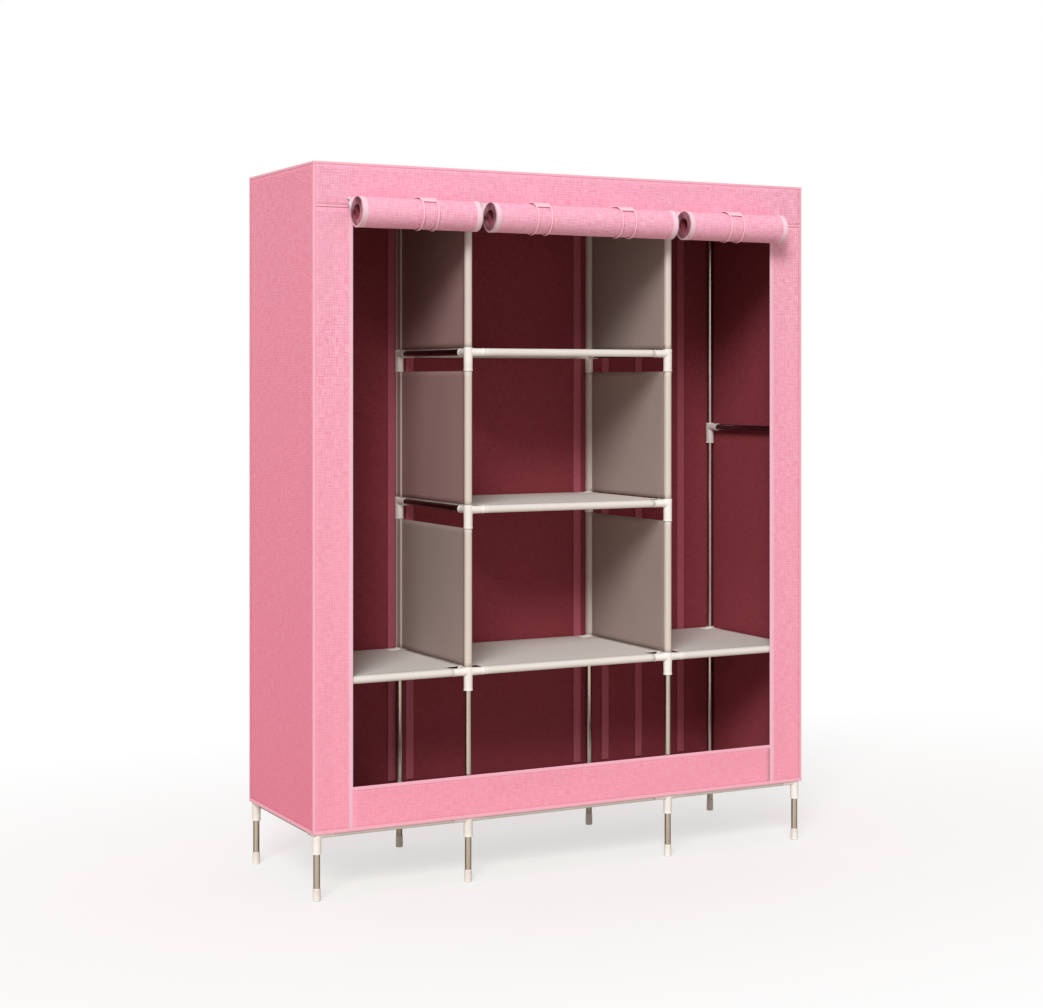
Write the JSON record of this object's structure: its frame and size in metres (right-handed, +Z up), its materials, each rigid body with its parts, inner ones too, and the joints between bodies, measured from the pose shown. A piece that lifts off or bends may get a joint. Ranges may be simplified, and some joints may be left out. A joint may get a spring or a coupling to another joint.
{
  "type": "portable fabric wardrobe",
  "caption": "Free-standing wardrobe: steel tubes in moulded connectors under a sewn cover, with hanging space on both sides of a middle column of shelves, and doors that roll up.",
  "frame": {"origin": "on the floor, under the middle of the whole object's box, rolled doors included", "axes": "+X to the wardrobe's right as seen from the front, +Y from the doors to the back, +Z up"},
  "size_m": [1.4, 0.5202, 1.75],
  "materials": {
    "cover_cloth": "pink plain-woven cloth with the look of linen, bound with a paler piping",
    "shelf_cloth": "white non-woven cloth, matt",
    "tie_cloth": "pale pink webbing tab with two elastic cords",
    "steel_tube": "thin plated steel tube, bright",
    "connector_plastic": "white moulded plastic, satin",
    "zip_metal": "bright plated zip slider"
  },
  "bodies": {
    "frame_and_cover": {"post_front_outer_left": "steel_tube", "foot_front_outer_left": "connector_plastic", "post_front_inner_left": "steel_tube", "foot_front_inner_left": "connector_plastic", "post_front_inner_right": "steel_tube", "foot_front_inner_right": "connector_plastic", "post_front_outer_right": "steel_tube", "foot_front_outer_right": "connector_plastic", "post_back_outer_left": "steel_tube", "foot_back_outer_left": "connector_plastic", "post_back_inner_left": "steel_tube", "foot_back_inner_left": "connector_plastic", "post_back_inner_right": "steel_tube", "foot_back_inner_right": "connector_plastic", "post_back_outer_right": "steel_tube", "foot_back_outer_right": "connector_plastic", "frame_bottom": "connector_plastic", "frame_low": "connector_plastic", "frame_mid": "connector_plastic", "frame_high": "connector_plastic", "frame_top": "connector_plastic", "hanging_rod_left": "steel_tube", "side_rail_left": "connector_plastic", "hanging_rod_right": "steel_tube", "side_rail_right": "connector_plastic", "shelf_bottom_left": "shelf_cloth", "shelf_low_left": "shelf_cloth", "shelf_bottom_middle": "shelf_cloth", "shelf_low_middle": "shelf_cloth", "shelf_bottom_right": "shelf_cloth", "shelf_low_right": "shelf_cloth", "shelf_mid": "shelf_cloth", "shelf_high": "shelf_cloth", "divider_left_low": "shelf_cloth", "divider_left_mid": "shelf_cloth", "divider_left_high": "shelf_cloth", "divider_right_low": "shelf_cloth", "divider_right_mid": "shelf_cloth", "divider_right_high": "shelf_cloth", "cover_top": "cover_cloth", "cover_back": "cover_cloth", "cover_side_left": "cover_cloth", "cover_side_right": "cover_cloth", "cover_fascia": "cover_cloth", "cover_band_left": "cover_cloth", "cover_band_right": "cover_cloth", "cover_skirt": "cover_cloth", "strap_left": "tie_cloth", "strap_middle_left": "tie_cloth", "strap_middle_right": "tie_cloth", "strap_right": "tie_cloth"},
    "door_left_roll": {"door_left": "cover_cloth"},
    "door_middle_roll": {"door_middle": "cover_cloth"},
    "door_right_roll": {"door_right": "cover_cloth"},
    "zip_left": {"zip_slider_left": "zip_metal"},
    "zip_middle_left": {"zip_slider_middle_left": "zip_metal"},
    "zip_middle_right": {"zip_slider_middle_right": "zip_metal"},
    "zip_right": {"zip_slider_right": "zip_metal"}
  },
  "joints": [
    {"name": "door_left_drop", "type": "slide", "parent": "frame_and_cover", "child": "door_left_roll", "axis": [0, 0, -1], "range_m": [0, 1.345], "deforming": ["strap_left"]},
    {"name": "door_middle_drop", "type": "slide", "parent": "frame_and_cover", "child": "door_middle_roll", "axis": [0, 0, -1], "range_m": [0, 1.345], "deforming": ["strap_middle_left", "strap_middle_right"]},
    {"name": "door_right_drop", "type": "slide", "parent": "frame_and_cover", "child": "door_right_roll", "axis": [0, 0, -1], "range_m": [0, 1.345], "deforming": ["strap_right"]},
    {"name": "zip_left_travel", "type": "slide", "parent": "frame_and_cover", "child": "zip_left", "axis": [0, 0, -1], "range_m": [0, 1.345]},
    {"name": "zip_middle_left_travel", "type": "slide", "parent": "frame_and_cover", "child": "zip_middle_left", "axis": [0, 0, -1], "range_m": [0, 1.345]},
    {"name": "zip_middle_right_travel", "type": "slide", "parent": "frame_and_cover", "child": "zip_middle_right", "axis": [0, 0, -1], "range_m": [0, 1.345]},
    {"name": "zip_right_travel", "type": "slide", "parent": "frame_and_cover", "child": "zip_right", "axis": [0, 0, -1], "range_m": [0, 1.345]}
  ],
  "couplings": [
    {"joint": "zip_left_travel", "follows": "door_left_drop", "ratio": 1},
    {"joint": "zip_middle_left_travel", "follows": "door_middle_drop", "ratio": 1},
    {"joint": "zip_middle_right_travel", "follows": "door_right_drop", "ratio": 1},
    {"joint": "zip_right_travel", "follows": "door_right_drop", "ratio": 1}
  ]
}
